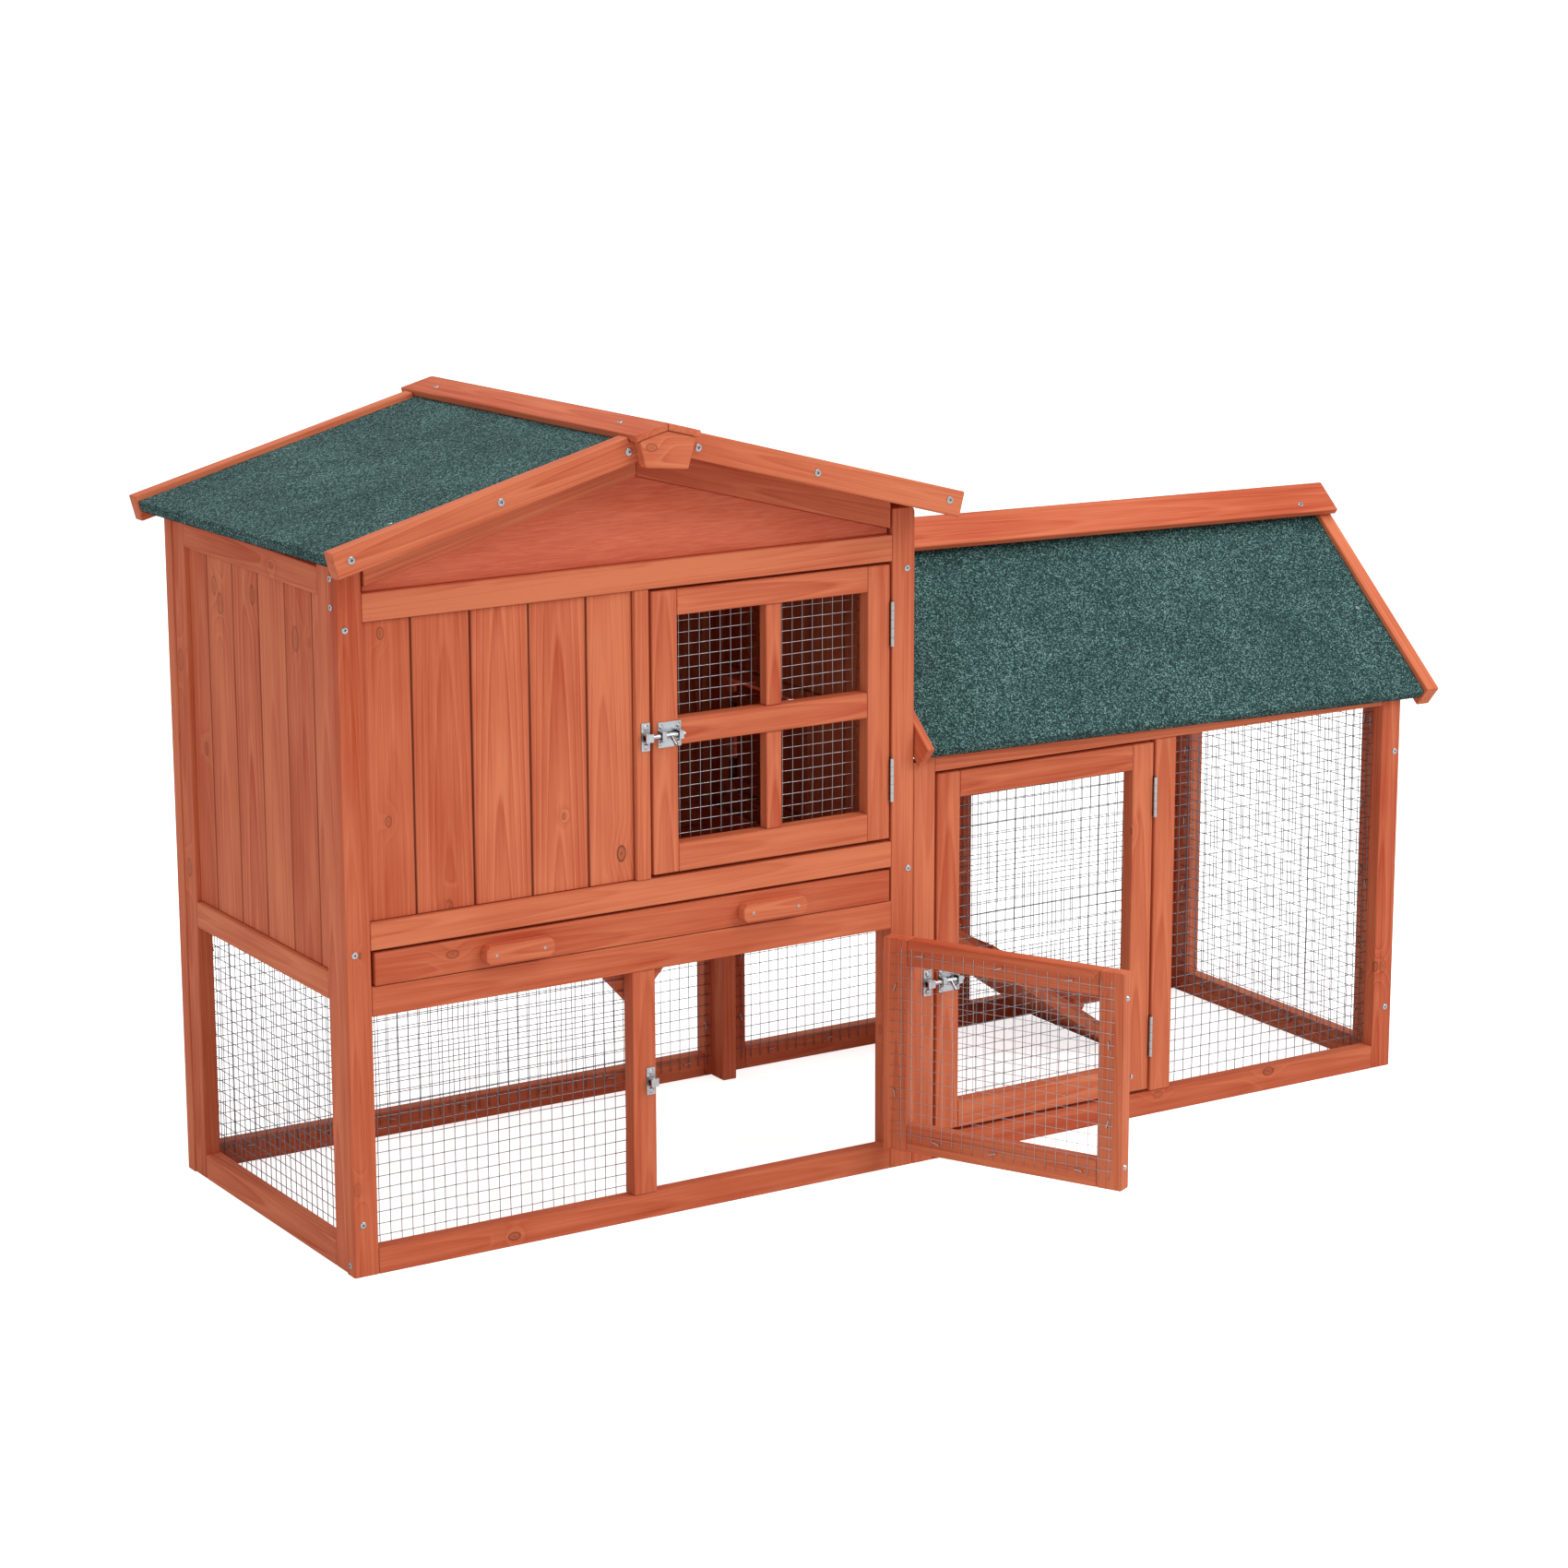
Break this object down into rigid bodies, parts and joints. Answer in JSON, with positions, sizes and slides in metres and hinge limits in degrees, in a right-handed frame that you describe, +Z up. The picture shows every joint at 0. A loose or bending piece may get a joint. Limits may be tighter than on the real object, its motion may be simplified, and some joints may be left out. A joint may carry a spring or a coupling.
{
  "type": "rabbit hutch",
  "caption": "Two-storey timber rabbit house with gabled roof, pull-out tray and latched mesh doors, joined to a gable-roofed wire run by an inner ramp.",
  "frame": {"origin": "centre of the footprint box at ground level, lower door standing open", "axes": "+X from the house to the run, -Y out of the front, +Z up"},
  "size_m": [1.441, 0.7292, 0.8625],
  "materials": {
    "wood": "stained, satin",
    "ply": "stained plywood",
    "felt": "mineral-faced roofing felt",
    "wire": "galvanised",
    "zinc": "zinc plated",
    "pan": "stained board"
  },
  "bodies": {
    "hutch": {"house_front_posts": "wood", "house_front_rails": "wood", "house_front_boards": "wood", "house_door_jamb": "wood", "house_middle_post": "wood", "house_corner_gusset": "wood", "house_gable_panels": "ply", "house_gable_rafters": "wood", "house_front_mesh": "wire", "house_left_frame": "wood", "house_left_boards": "wood", "house_left_mesh": "wire", "house_back_frame": "wood", "house_back_boards": "wood", "house_back_mesh": "wire", "house_right_frame": "wood", "house_right_boards": "wood", "tray_runners": "wood", "house_roof_boards": "wood", "house_roof_felt": "felt", "house_bargeboards": "wood", "house_ridge_cap": "wood", "house_finials": "wood", "run_front_frame": "wood", "run_front_mesh": "wire", "run_right_frame": "wood", "run_right_mesh": "wire", "run_right_gable": "ply", "run_back_frame": "wood", "run_back_mesh": "wire", "run_roof_boards": "wood", "run_roof_felt": "felt", "run_bargeboards": "wood", "run_ridge_cap": "wood", "ramp_board": "wood", "ramp_treads": "wood", "fixed_hinge_leaves": "zinc", "bolt_keeps": "zinc", "frame_screws": "zinc"},
    "upper_door": {"upper_door_frame": "wood", "upper_door_muntins": "wood", "upper_door_mesh": "wire", "upper_door_hinges": "zinc", "upper_bolt_plate": "zinc"},
    "upper_bolt": {"upper_bolt": "zinc"},
    "lower_door": {"lower_door_frame": "wood", "lower_door_mesh": "wire", "lower_door_hinges": "zinc", "lower_bolt_plate": "zinc"},
    "lower_bolt": {"lower_bolt": "zinc"},
    "run_door": {"run_door_frame": "wood", "run_door_mesh": "wire", "run_door_hinges": "zinc", "run_bolt_plate": "zinc"},
    "run_bolt": {"run_bolt": "zinc"},
    "pop_door": {"pop_door_board": "wood", "pop_door_hinges": "zinc"},
    "tray": {"tray_front": "wood", "tray_pan": "pan", "tray_handles": "wood"}
  },
  "joints": [
    {"name": "upper_door_hinge", "type": "hinge", "parent": "hutch", "child": "upper_door", "pos_m": [-0.0367, -0.09375, 0.527], "axis": [0, 0, 1], "range_deg": [0, 120]},
    {"name": "upper_bolt_slide", "type": "slide", "parent": "upper_door", "child": "upper_bolt", "axis": [1, 0, 0], "range_m": [-0.005, 0.005]},
    {"name": "lower_door_hinge", "type": "hinge", "parent": "hutch", "child": "lower_door", "pos_m": [-0.0367, -0.09375, 0.151], "axis": [0, 0, 1], "range_deg": [-117, 48]},
    {"name": "lower_bolt_slide", "type": "slide", "parent": "lower_door", "child": "lower_bolt", "axis": [-0.454, 0.891, 0], "range_m": [-0.01, 0]},
    {"name": "run_door_hinge", "type": "hinge", "parent": "hutch", "child": "run_door", "pos_m": [0.3197, -0.09375, 0.236], "axis": [0, 0, 1], "range_deg": [0, 110]},
    {"name": "run_bolt_slide", "type": "slide", "parent": "run_door", "child": "run_bolt", "axis": [1, 0, 0], "range_m": [-0.005, 0.005]},
    {"name": "pop_door_hinge", "type": "hinge", "parent": "hutch", "child": "pop_door", "pos_m": [0.0005, 0.27885, 0.413], "axis": [0, 0, 1], "range_deg": [0, 90]},
    {"name": "tray_slide", "type": "slide", "parent": "hutch", "child": "tray", "axis": [0, -1, 0], "range_m": [0, 0.36]}
  ]
}
